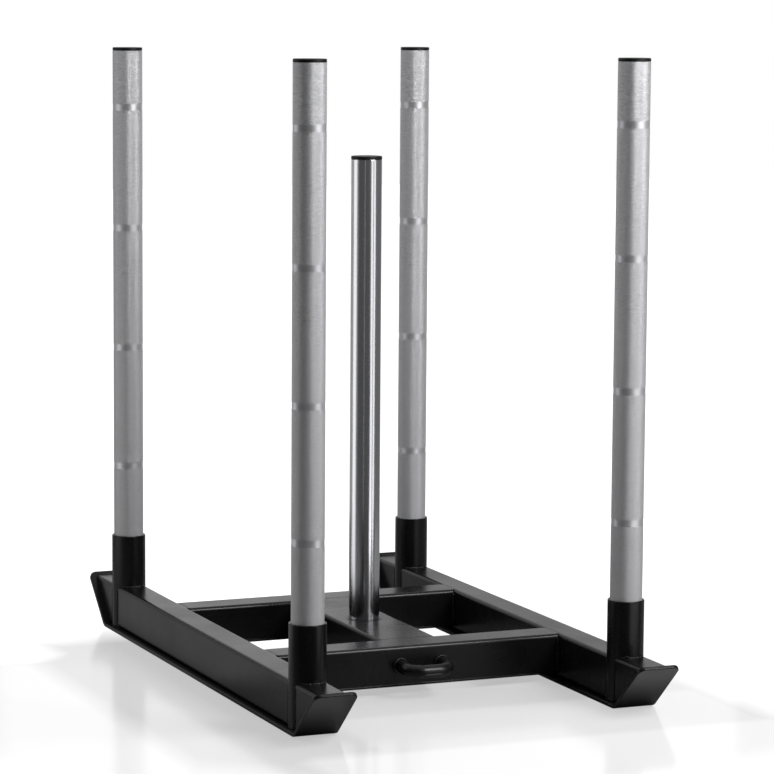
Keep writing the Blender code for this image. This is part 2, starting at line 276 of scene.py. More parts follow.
def rounded_outline(width, height, radius, across=1, arc=6):
    """Rounded rectangle round the origin, counter-clockwise from the start of its lower right corner.

    Each corner is an arc of equal turns, and the top and the bottom are cut into equal lengths.
    """
    turn = np.linspace(0, QUARTER_TURN, arc + 1)
    parts = []
    for quarter, (side, up) in enumerate(((1, -1), (1, 1), (-1, 1), (-1, -1))):
        centre = np.array([side * (width / 2 - radius), up * (height / 2 - radius)])
        bow = turn + (quarter - 1) * QUARTER_TURN
        parts.append(centre + radius * np.stack([np.cos(bow), np.sin(bow)], 1))
        if quarter in (1, 3) and across > 1:
            between = np.linspace(1, -1, across + 1)[1:-1, None] * up
            parts.append(np.hstack([between * (width / 2 - radius), np.full_like(between, up * height / 2)]))
    return np.concatenate(parts)


def box_tube(width, height, radius, end_radius, half_length):
    """Closed rectangular tube along X: its outline is carried from end to end.

    Near an end the outline shrinks by end_radius (1 - cos b) while it goes on by end_radius sin b.
    """
    bow = np.linspace(0, QUARTER_TURN, TUBE_END_POINTS)
    shrink = end_radius * (1 - np.cos(bow))
    reach = half_length - end_radius + end_radius * np.sin(bow)
    stations = np.concatenate([-reach[::-1], reach])
    insets = np.concatenate([shrink[::-1], shrink])
    rings = np.stack([rounded_outline(width - 2 * inset, height - 2 * inset, radius - inset)
                      for inset in insets])
    rows, columns = rings.shape[:2]
    along = np.broadcast_to(stations[:, None, None], (rows, columns, 1))
    return np.concatenate([along, rings], 2).reshape(-1, 3), capped_tube(rows, columns)


def skid_bend(sizes):
    """Radius of a skid's bend along the underside, and the distance from the middle where it starts."""
    bend = sizes.skid_bend + sizes.skid_thickness
    return bend, sizes.skid_flat / 2 - bend * math.tan(sizes.skid_tip_angle / 2)


def skid_places(sizes, along, height):
    """Bends a flat bar: (y, z) of points a distance along its underside and a height above it.

    The flat runs to s1, the bend turns by (s - s1) / R up to the tip's angle, and the tip goes on
    straight, so y = min(s, s1) + R sin a + rest cos T - h sin a, and z = R (1 - cos a) + rest sin T
    + h cos a.
    """
    bend, start = skid_bend(sizes)
    full = sizes.skid_tip_angle
    distance = np.abs(along)
    turn = np.clip((distance - start) / bend, 0, full)
    rest = np.maximum(distance - start - bend * full, 0)
    y = np.minimum(distance, start) + bend * np.sin(turn) + rest * math.cos(full) - height * np.sin(turn)
    z = bend * (1 - np.cos(turn)) + rest * math.sin(full) + height * np.cos(turn)
    return np.sign(along) * y, z


def skid_surface(sizes, centre_x):
    """Flat bar with rounded corners and edges, worked out flat and then bent.

    Across its edge the bar is inset by i = e (1 - sin c) and round a corner of radius r a point lies
    at (r - i) sin b along and (r - i) cos b across from the corner's centre.
    """
    thickness, edge, corner = sizes.skid_thickness, sizes.skid_edge, sizes.skid_corner
    half_width = SKID_WIDTH / 2
    bend, bend_start = skid_bend(sizes)
    bend_end = bend_start + bend * sizes.skid_tip_angle
    reach = bend_end + sizes.skid_tip - bend * math.tan(sizes.skid_tip_angle / 2)
    bow = np.linspace(0, QUARTER_TURN, EDGE_POINTS)
    inset = np.concatenate([edge * (1 - np.sin(bow)), edge * (1 - np.cos(bow))])
    height = np.concatenate([thickness - edge + edge * np.cos(bow), edge - edge * np.sin(bow)])
    straight = np.concatenate([np.linspace(0, bend_start, FLAT_POINTS)[:-1],
                               bend_start + bend * np.linspace(0, sizes.skid_tip_angle, BEND_POINTS)])
    round_the_corner = np.linspace(0, QUARTER_TURN, CORNER_POINTS)[:, None]
    along = np.concatenate([np.broadcast_to(straight[:, None], (len(straight), len(inset))),
                            reach - corner + (corner - inset) * np.sin(round_the_corner)])
    across = np.concatenate([np.broadcast_to(half_width - inset, (len(straight), len(inset))),
                             half_width - corner + (corner - inset) * np.cos(round_the_corner)])
    along = np.concatenate([-along[:0:-1], along])
    across = np.concatenate([across[:0:-1], across])
    loop_along = np.hstack([along, along[:, ::-1]])
    loop_across = np.hstack([across, -across[:, ::-1]])
    loop_height = np.broadcast_to(np.concatenate([height, height[::-1]]), loop_along.shape)
    y, z = skid_places(sizes, loop_along, loop_height)
    rows, columns = loop_along.shape
    faces = grid_quads(rows, columns)
    for first in (0, (rows - 1) * columns):
        chain = np.arange(columns // 2)
        faces += rungs(first + chain, first + columns - 1 - chain)
    return points_at(centre_x + loop_across, y, z).reshape(-1, 3), faces


def bead(path, radius, step, closed=False):
    """A ripple weld along a path: round, with its radius swelling once in each step.

    The radius is r (1 - c + c |cos(pi s / step)|) at distance s, where c is the ripple's share. On an
    open path it also wanders by the sum of two sines, and it closes at both ends like a dome,
    sqrt(1 - (1 - s / r)^2). A ring starts square to the path and to the axis that the path runs along
    least.
    """
    path = np.asarray(path, float)
    distance = np.concatenate([[0], np.cumsum(np.linalg.norm(np.diff(path, axis=0), axis=1))])
    total = distance[-1]
    rows = max(int(total / step * RIPPLE_POINTS), LEAST_POINTS)
    even = np.linspace(0, total, rows, endpoint=not closed)
    line = np.stack([np.interp(even, distance, path[:, k]) for k in range(3)], 1)
    tangent = unit(np.roll(line, -1, 0) - np.roll(line, 1, 0) if closed else np.gradient(line, axis=0))
    least = np.abs(tangent).mean(0).argmin()
    sideways = unit(np.cross(tangent, np.eye(3)[least]))
    upright = np.cross(sideways, tangent)
    swell = radius * (1 - RIPPLE + RIPPLE * np.abs(np.cos(np.pi * even / step)))
    if not closed:
        wander = sum(size * np.sin(even * pace + path[0, axis] * shift) for size, pace, shift, axis in WANDER)
        from_end = np.minimum(even, total - even)
        swell = swell * (1 + wander) * np.sqrt(1 - np.clip(1 - from_end / radius, 0, 1) ** 2)
    around = (np.arange(BEAD_SIDES) * FULL_TURN / BEAD_SIDES)[None, :, None]
    ring = np.cos(around) * sideways[:, None] + np.sin(around) * upright[:, None]
    points = line[:, None] + swell[:, None, None] * ring
    return points.reshape(-1, 3), grid_quads(rows, BEAD_SIDES, close_rows=closed)


def moved(surface, x, y, z):
    """The same surface in another place."""
    points, faces = surface
    return points + np.array([x, y, z]), faces


def joined(surfaces):
    """Several surfaces as one, their faces renumbered."""
    points, faces, first = [], [], 0
    for spots, some in surfaces:
        points.append(spots)
        faces += [[first + k for k in face] for face in some]
        first += len(spots)
    return np.concatenate(points), faces


# Putting a piece in the scene

def linked(name, data):
    """A new object of the scene."""
    thing = bpy.data.objects.new(name, data)
    bpy.context.scene.collection.objects.link(thing)
    return thing


def add_piece(name, body, material, surface, replaces=(), uv=None, fields=None):
    """Makes a closed surface a piece that rides on a body and stands for solids."""
    points, faces = surface
    mesh = bpy.data.meshes.new(name)
    mesh.from_pydata(np.asarray(points, float).tolist(), [], faces)
    if uv is not None:
        layer = mesh.uv_layers.new(name="Metres")
        layer.data.foreach_set("uv", np.asarray(uv, np.float32).ravel())
    for field, values in (fields or {}).items():
        attribute = mesh.attributes.new(field, "FLOAT", "POINT")
        attribute.data.foreach_set("value", np.asarray(values, np.float32))
    shape = bmesh.new()
    shape.from_mesh(mesh)
    bmesh.ops.remove_doubles(shape, verts=shape.verts, dist=MERGE_DISTANCE)
    bmesh.ops.recalc_face_normals(shape, faces=shape.faces)
    shape.to_mesh(mesh)
    shape.free()
    mesh.shade_smooth()
    mesh.set_sharp_from_angle(angle=SHARP_ANGLE)
    mesh.materials.append(material)
    piece = linked(name, mesh)
    piece.modifiers.new("Even faces", "WEIGHTED_NORMAL").keep_sharp = True
    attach(piece, body)
    if replaces:
        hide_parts(*replaces)


def add_to_frame(name, finishes, surface, replaces=()):
    """A piece of the frame, in the frame's powder coat."""
    add_piece(name, "frame", frame_paint(finishes), surface, replaces)


# Shader node groups

# Limits between which a noise mostly lies
NOISE_RANGE = (0.3, 0.7)
# Limits of the slow noise between which the wear turns from faint to strong
PATCH_RANGE = (0.35, 0.65)


def made_once(collection, name):
    """Wraps a function that makes a node group or a material, so that later calls find the first one."""
    def wrap(make):
        def find_or_make(*values):
            return getattr(bpy.data, collection).get(name) or make(name, *values)
        return find_or_make
    return wrap


def new_group(name, values, results):
    """An empty shader node group: a Vector and named values go in, and named numbers come out."""
    group = bpy.data.node_groups.new(name, "ShaderNodeTree")
    group.interface.new_socket("Vector", in_out="INPUT", socket_type="NodeSocketVector")
    for label, default in values.items():
        socket = group.interface.new_socket(label, in_out="INPUT", socket_type="NodeSocketFloat")
        socket.default_value = default
    for label in results:
        group.interface.new_socket(label, in_out="OUTPUT", socket_type="NodeSocketFloat")
    return group, group.nodes.new("NodeGroupInput").outputs, group.nodes.new("NodeGroupOutput").inputs


def node(tree, kind, inputs=None, **settings):
    """A node with its settings, and with its inputs set to values or linked to sockets."""
    made = tree.nodes.new(kind)
    for setting, value in settings.items():
        setattr(made, setting, value)
    for key, value in (inputs or {}).items():
        if isinstance(value, bpy.types.NodeSocket):
            tree.links.new(value, made.inputs[key])
        else:
            made.inputs[key].default_value = value
    return made


def maths(tree, operation, *values):
    """Result of a sum, product or other operation on numbers or sockets."""
    return node(tree, "ShaderNodeMath", dict(enumerate(values)), operation=operation).outputs[0]


def spread(tree, value, low, high, to_low, to_high):
    """A value's range from low to high, spread over another range and kept inside it."""
    return node(tree, "ShaderNodeMapRange", {"Value": value, "From Min": low, "From Max": high,
                                             "To Min": to_low, "To Max": to_high}).outputs["Result"]


def noise(tree, vector, scale, **more):
    """Value of a noise of a scale at a vector; more inputs of its node are given by their names."""
    return node(tree, "ShaderNodeTexNoise", {"Vector": vector, "Scale": scale, **more}).outputs["Fac"]


def stretched(tree, vector, **factors):
    """A vector whose named coordinates are multiplied by factors."""
    scale = node(tree, "ShaderNodeCombineXYZ", {"X": 1.0, "Y": 1.0, "Z": 1.0, **factors})
    product = node(tree, "ShaderNodeVectorMath", {0: vector, 1: scale.outputs[0]}, operation="MULTIPLY")
    return product.outputs[0]


@made_once("node_groups", "Powder coat")
def coat_group(name):
    """Powder coat: a fine orange peel as Height, and a slow drift of the coat's tone as Tone."""
    group, source, result = new_group(name, {"Peel Size": 500.0, "Drift Size": 11.0}, ("Height", "Tone"))
    peel = noise(group, source["Vector"], source["Peel Size"], Detail=2.0, Roughness=0.55)
    drift = noise(group, source["Vector"], source["Drift Size"], Detail=4.0)
    group.links.new(peel, result["Height"])
    group.links.new(drift, result["Tone"])
    return group


@made_once("node_groups", "Diamond knurl")
def knurl_group(name):
    """Diamond knurling: two families of helical grooves; Slope is the tangent of their angle to the axis.

    Height is the lower of two triangle waves, so each diamond is a small pyramid, and Groove is 1 at
    the bottom of a groove.
    """
    group, source, result = new_group(name, {"Pitch": 0.0016, "Slope": 0.577}, ("Height", "Groove"))
    parts = node(group, "ShaderNodeSeparateXYZ", {"Vector": source["Vector"]}).outputs
    lean = maths(group, "MULTIPLY", parts["Y"], source["Slope"])
    waves = []
    for operation in ("ADD", "SUBTRACT"):
        turns = maths(group, "DIVIDE", maths(group, operation, parts["X"], lean), source["Pitch"])
        waves.append(maths(group, "MULTIPLY", maths(group, "PINGPONG", turns, 0.5), 2.0))
    height = maths(group, "MINIMUM", *waves)
    group.links.new(height, result["Height"])
    group.links.new(maths(group, "SUBTRACT", 1.0, height), result["Groove"])
    return group


@made_once("node_groups", "Drawn lines")
def drawn_group(name):
    """Fine lines along an upright axis: noise that is stretched along Z, as Height and as Tone."""
    group, source, result = new_group(name, {"Line Size": 700.0, "Streak Size": 84.0, "Stretch": 0.012},
                                      ("Height", "Tone"))
    upright = stretched(group, source["Vector"], Z=source["Stretch"])
    group.links.new(noise(group, upright, source["Line Size"], Detail=3.0), result["Height"])
    group.links.new(noise(group, upright, source["Streak Size"], Detail=2.0), result["Tone"])
    return group


@made_once("node_groups", "Knurl wear")
def wear_group(name):
    """Grain of worn knurling: noise that is wide round the tube and short along it, as Grain.

    A coarser, twisted noise adds wavy marks, a slow one makes both strong in some places and faint in
    others, and both fade from the height Fresh near the tube's top down to the height Worn.
    """
    group, source, result = new_group(
        name, {"Grain Size": 190.0, "Wave Size": 55.0, "Flatness": 3.4, "Patch Size": 9.0,
               "Faint Share": 0.25, "Fresh": 0.95, "Worn": 0.5, "Worn Share": 0.3}, ("Grain",))
    flat = stretched(group, source["Vector"], Y=source["Flatness"])
    fine = noise(group, flat, source["Grain Size"], Detail=3.0, Roughness=0.6, Distortion=0.6)
    waves = noise(group, flat, source["Wave Size"], Detail=3.0, Roughness=0.65, Distortion=2.2)
    patches = noise(group, source["Vector"], source["Patch Size"], Detail=2.0)
    height = node(group, "ShaderNodeSeparateXYZ", {"Vector": source["Vector"]}).outputs["Y"]
    fade = spread(group, height, source["Worn"], source["Fresh"], source["Worn Share"], 1.0)
    patchy = spread(group, patches, *PATCH_RANGE, source["Faint Share"], 1.0)
    strength = maths(group, "MULTIPLY", patchy, fade)
    both = maths(group, "SUBTRACT", maths(group, "ADD", fine, waves), 1.0)
    group.links.new(maths(group, "ADD", maths(group, "MULTIPLY", both, strength), 0.5), result["Grain"])
    return group


# Materials

# How far the coat's roughness drifts down and up, and how much duller the skids are than the frame
COAT_SMOOTHER, COAT_DULLER, SKID_DULLER = 0.04, 0.05, 0.03
# The knurling and the smooth bands: metallic share and roughness
KNURL_METALLIC, KNURL_ROUGHNESS = 0.42, 0.42
BAND_METALLIC, BAND_ROUGHNESS = 0.65, 0.40
# Share of the light that the bottom of a groove keeps, and the grain's share of the knurling's relief
GROOVE_SHADE = (0.72, 0.72, 0.73)
GRAIN_RELIEF = 0.8


def new_material(name, roughness, metallic, specular=0.5):
    """A node material: its tree and its shader."""
    material = bpy.data.materials.new(name)
    material.use_nodes = True
    shader = material.node_tree.nodes["Principled BSDF"]
    shader.inputs["Roughness"].default_value = roughness
    shader.inputs["Metallic"].default_value = metallic
    shader.inputs["Specular IOR Level"].default_value = specular
    return material, material.node_tree, shader


def object_place(tree):
    """Place on a piece, in metres."""
    return tree.nodes.new("ShaderNodeTexCoord").outputs["Object"]


def effect(tree, group, vector, **values):
    """Outputs of a node group that is placed in a tree with values of its own."""
    inputs = {key.replace("_", " "): value for key, value in values.items()}
    return node(tree, "ShaderNodeGroup", {"Vector": vector, **inputs}, node_tree=group).outputs


def feed(shader, **sockets):
    """Links sockets to the shader's inputs, whose names have a space for each underscore."""
    for key, socket in sockets.items():
        shader.id_data.links.new(socket, shader.inputs[key.replace("_", " ")])


def shades(tree, factor, dark, light, blend="MIX"):
    """Mix of two colours, each a tint or a socket, by a factor."""
    ends = [tone if isinstance(tone, bpy.types.NodeSocket) else (*tone, 1.0) for tone in (dark, light)]
    return node(tree, "ShaderNodeMix", {"Factor": factor, "A": ends[0], "B": ends[1]},
                data_type="RGBA", blend_type=blend).outputs["Result"]


def noise_spread(tree, value, to_low, to_high):
    """A noise, spread over a range."""
    return spread(tree, value, *NOISE_RANGE, to_low, to_high)


def bump(tree, height, strength, distance):
    """Normal of a surface that a height of 0 to 1 raises by up to a distance."""
    return node(tree, "ShaderNodeBump", {"Height": height, "Strength": strength,
                                         "Distance": distance}).outputs["Normal"]


def tones(tree, factor, tint, dark, light):
    """A tint times a share that goes from dark to light with a factor."""
    ends = [tuple(min(channel * times, 1.0) for channel in tint) for times in (dark, light)]
    return shades(tree, factor, *ends)


def powder_coat(name, tint, roughness):
    """Satin coat whose tone and roughness drift slowly, with a fine orange peel."""
    material, tree, shader = new_material(name, roughness, metallic=0.0, specular=0.2)
    coat = effect(tree, coat_group(), object_place(tree))
    drift = noise_spread(tree, coat["Tone"], 0.0, 1.0)
    feed(shader, Base_Color=tones(tree, drift, tint, dark=0.85, light=1.15),
         Roughness=noise_spread(tree, coat["Tone"], roughness - COAT_SMOOTHER, roughness + COAT_DULLER),
         Normal=bump(tree, coat["Height"], strength=0.12, distance=0.00005))
    return material


@made_once("materials", "frame_powder_coat")
def frame_paint(name, finishes):
    """The frame's coat."""
    return powder_coat(name, finishes.frame_black, finishes.coat_roughness)


@made_once("materials", "skid_powder_coat")
def skid_paint(name, finishes):
    """The skids' coat, darker and a little duller than the frame's."""
    return powder_coat(name, finishes.skid_black, finishes.coat_roughness + SKID_DULLER)


@made_once("materials", "knurled_tube_steel")
def knurled_steel(name, finishes):
    """Steel whose knurling fades out where the piece's own field says that it is smooth.

    Knurling scatters light like a dull surface, so it is less metallic than the smooth bands. The
    pitch is set so that a whole number of grooves goes round the tube.
    """
    material, tree, shader = new_material(name, roughness=0.4, metallic=1.0)
    metres = node(tree, "ShaderNodeUVMap", uv_map="Metres").outputs["UV"]
    grooves = round(FULL_TURN * POST_RADIUS / finishes.knurl_pitch)
    knurl = effect(tree, knurl_group(), metres, Pitch=FULL_TURN * POST_RADIUS / grooves)
    grain = effect(tree, wear_group(), metres)["Grain"]
    rough = node(tree, "ShaderNodeAttribute", attribute_name="knurled").outputs["Fac"]
    tops = tones(tree, noise_spread(tree, grain, 0.0, 1.0), finishes.knurled_grey, dark=0.74, light=1.2)
    grooved = shades(tree, knurl["Groove"], tops, GROOVE_SHADE, blend="MULTIPLY")
    relief = maths(tree, "ADD", knurl["Height"], maths(tree, "MULTIPLY", grain, GRAIN_RELIEF))
    feed(shader, Base_Color=shades(tree, rough, finishes.band_grey, grooved),
         Metallic=spread(tree, rough, 0.0, 1.0, BAND_METALLIC, KNURL_METALLIC),
         Roughness=spread(tree, rough, 0.0, 1.0, BAND_ROUGHNESS, KNURL_ROUGHNESS),
         Normal=bump(tree, maths(tree, "MULTIPLY", relief, rough), strength=0.6, distance=0.0004))
    return material


@made_once("materials", "polished_post_steel")
def polished_steel(name, finishes):
    """Bright steel with fine lines along the post."""
    material, tree, shader = new_material(name, roughness=0.12, metallic=1.0)
    drawn = effect(tree, drawn_group(), object_place(tree))
    feed(shader, Base_Color=tones(tree, drawn["Tone"], finishes.polished_grey, dark=0.92, light=1.06),
         Roughness=noise_spread(tree, drawn["Height"], to_low=0.14, to_high=0.20),
         Normal=bump(tree, drawn["Height"], strength=0.12, distance=0.0001))
    return material


@made_once("materials", "grained_black_plastic")
def black_plastic(name, finishes):
    """Dull plastic with a fine grain."""
    material, tree, shader = new_material(name, roughness=0.45, metallic=0.0, specular=0.15)
    coat = effect(tree, coat_group(), object_place(tree), Peel_Size=1600.0, Drift_Size=40.0)
    feed(shader, Base_Color=tones(tree, coat["Tone"], finishes.plastic_black, dark=0.8, light=1.3),
         Roughness=noise_spread(tree, coat["Height"], to_low=0.42, to_high=0.50),
         Normal=bump(tree, coat["Height"], strength=0.15, distance=0.0001))
    return material


# Operators: one for each piece or group of like pieces

class SLED_OT_skids(bpy.types.Operator):
    """Flat bar skids, bent up at both ends"""

    bl_idname = "sled.skids"
    bl_label = "Skids"

    def execute(self, context):
        sizes, finishes = chosen(context)
        for side, sign in SIDES:
            add_piece(side + "_skid_bar", "frame", skid_paint(finishes),
                      skid_surface(sizes, sign * RAIL.x), [side + "_skid"])
        return {"FINISHED"}


class SLED_OT_rails(bpy.types.Operator):
    """Side rails between the sockets, and the short rails beyond them on the skids' tips"""

    bl_idname = "sled.rails"
    bl_label = "Rails"

    # Rows of points along a rail and along a short rail, parts of a flat top, and points along a skid
    rows, end_rows, flat_parts, slope_points = 9, 5, 14, 400
    # Shortest that a short rail is along any of its lines
    least_length = 0.0001

    def notch(self, x):
        """Reach of a cut round a socket, from the socket's middle, at x: sqrt(r^2 - x^2).

        r is the way from the socket's middle to a corner of the short rail.
        """
        return np.sqrt(np.maximum((RAIL_END.front - SOCKET.y) ** 2 + (RAIL.width / 2) ** 2 - x ** 2, 0))

    def notched_end(self, outline):
        """Faces that close a tube at an upright cut: each joins points that share their x."""
        top = np.flatnonzero(outline[:, 1] > 0)
        twin = np.array([np.argmin(np.abs(outline - outline[i] * (1, -1)).sum(1)) for i in top])
        return rungs(top, twin)

    def carried(self, outline, start, end, rows):
        """The outline's points, each run along Y from its own start to its own end in equal steps."""
        steps = np.linspace(0, 1, rows)[:, None]
        return points_at(outline[:, 0], start + (end - start) * steps, outline[:, 1]).reshape(-1, 3)

    def rail(self, outline):
        """Side rail: each point of the outline runs from one socket's notch to the other's."""
        reach = SOCKET.y - self.notch(outline[:, 0])
        last = (self.rows - 1) * len(outline)
        cut = self.notched_end(outline)
        faces = [*grid_quads(self.rows, len(outline)), *cut, *([k + last for k in face] for face in cut)]
        return self.carried(outline, -reach, reach, self.rows), faces

    def rail_end(self, sizes, outline, middle):
        """Short rail: from the socket's notch to the skid's upper face, whose y at a height is looked up."""
        along = np.linspace(0, sizes.skid_flat / 2 + sizes.skid_tip, self.slope_points)
        skid_y, skid_z = skid_places(sizes, along, sizes.skid_thickness + JOINT_GAP)
        rising = np.argmax(skid_z > skid_z[0] + MERGE_DISTANCE)
        start = SOCKET.y + self.notch(outline[:, 0])
        end = np.interp(outline[:, 1] + middle, skid_z[rising:], skid_y[rising:])
        faces = [*grid_quads(self.end_rows, len(outline)), *self.notched_end(outline),
                 ring_face(self.end_rows - 1, len(outline))]
        return self.carried(outline, start, np.maximum(end, start + self.least_length), self.end_rows), faces

    def execute(self, context):
        sizes, finishes = chosen(context)
        outline = rounded_outline(RAIL.width, RAIL.height, sizes.tube_corner, across=self.flat_parts)
        middle = DECK - RAIL.height / 2
        rail, (points, faces) = self.rail(outline), self.rail_end(sizes, outline, middle)
        ends = (("front", (points * (-1, -1, 1), faces)), ("rear", (points, faces)))
        for side, sign in SIDES:
            add_to_frame(side + "_rail_tube", finishes, moved(rail, sign * RAIL.x, 0, middle),
                         [side + "_rail"])
            for end, surface in ends:
                name = f"{side}_{end}_rail_end"
                add_to_frame(name + "_tube", finishes, moved(surface, sign * RAIL.x, 0, middle), [name])
        return {"FINISHED"}


class SLED_OT_crossbars(bpy.types.Operator):
    """The two crossbars and the wide beam between them"""

    bl_idname = "sled.crossbars"
    bl_label = "Crossbars and beam"

    def execute(self, context):
        sizes, finishes = chosen(context)
        corner, edge = sizes.tube_corner, sizes.tube_end
        bar = box_tube(CROSSBAR.depth, CROSSBAR.height, corner, edge, CROSSBAR.width / 2)
        for end, sign in ENDS:
            add_to_frame(end + "_crossbar_tube", finishes, moved(bar, 0, sign * CROSSBAR.y, CROSSBAR.z),
                         [end + "_crossbar"])
        points, faces = box_tube(BEAM.width, BEAM.height, corner, edge, BEAM.depth / 2)
        add_to_frame("centre_beam_tube", finishes, moved((points[:, [1, 0, 2]], faces), 0, 0, BEAM.z),
                     ["centre_beam"])
        return {"FINISHED"}


class SLED_OT_sockets(bpy.types.Operator):
    """Round sockets at the corners and in the middle of the beam"""

    bl_idname = "sled.sockets"
    bl_label = "Sockets"

    rim_steps = 5
    # How far the ring round the centre post stands over its solid, and the radius of its rim
    centre_rise, centre_rim = 0.0006, 0.0008

    def ring(self, outer, wall, bottom, top, rim):
        """Outline of a tube's wall whose upper edge is round and whose lower edge is plain."""
        inner = outer - wall
        corners = [(outer, bottom), (outer, top), (inner, top), (inner, bottom)]
        return filleted(corners, (rim, rim), self.rim_steps)

    def execute(self, context):
        sizes, finishes = chosen(context)
        outline = self.ring(SOCKET_RADIUS, sizes.socket_wall, SOCKET.low, SOCKET.top, sizes.socket_rim)
        for corner, x, y in CORNERS:
            add_to_frame(corner + "_socket_sleeve", finishes,
                         turned(outline, socket_centre(x, y), TUBE_SIDES, closed=True), [corner + "_socket"])
        outline = self.ring(CENTRE_SOCKET.width / 2, sizes.centre_ring, DECK - sizes.centre_ring,
                            CENTRE_SOCKET.top + self.centre_rise, self.centre_rim)
        add_to_frame("centre_socket_ring", finishes, turned(outline, (0, 0), TUBE_SIDES, closed=True),
                     ["centre_socket"])
        return {"FINISHED"}


class SLED_OT_tow_eye(bpy.types.Operator):
    """Round bar bent to a U on the front crossbar"""

    bl_idname = "sled.tow_eye"
    bl_label = "Tow eye"

    sides = 32
    bend_steps = 20

    def execute(self, context):
        """A circle carried along the U: out by r cos a in the plan and up by r sin a, less the droop."""
        sizes, finishes = chosen(context)
        start, front, half = FRONT_FACE - JOINT_GAP, FRONT_FACE - sizes.tow_reach, sizes.tow_half
        corners = [(-half, start), (-half, front), (half, front), (half, start)]
        plan = filleted(corners, (sizes.tow_bend, sizes.tow_bend), self.bend_steps)
        tangent = np.gradient(plan, axis=0)
        tangent[0], tangent[-1] = (0, -1), (0, 1)
        tangent = unit(tangent)
        outward = np.stack([tangent[:, 1], -tangent[:, 0]], 1)
        around = np.arange(self.sides) * FULL_TURN / self.sides
        radius = sizes.tow_bar / 2
        x, y = (plan[:, k, None] + radius * np.cos(around) * outward[:, k, None] for k in (0, 1))
        height = sizes.tow_foot + radius * np.sin(around) - math.tan(sizes.tow_droop) * (FRONT_FACE - y)
        points = points_at(x, y, height).reshape(-1, 3)
        add_to_frame("tow_eye_bar", finishes, (points, capped_tube(len(plan), self.sides)), ["tow_eye"])
        return {"FINISHED"}


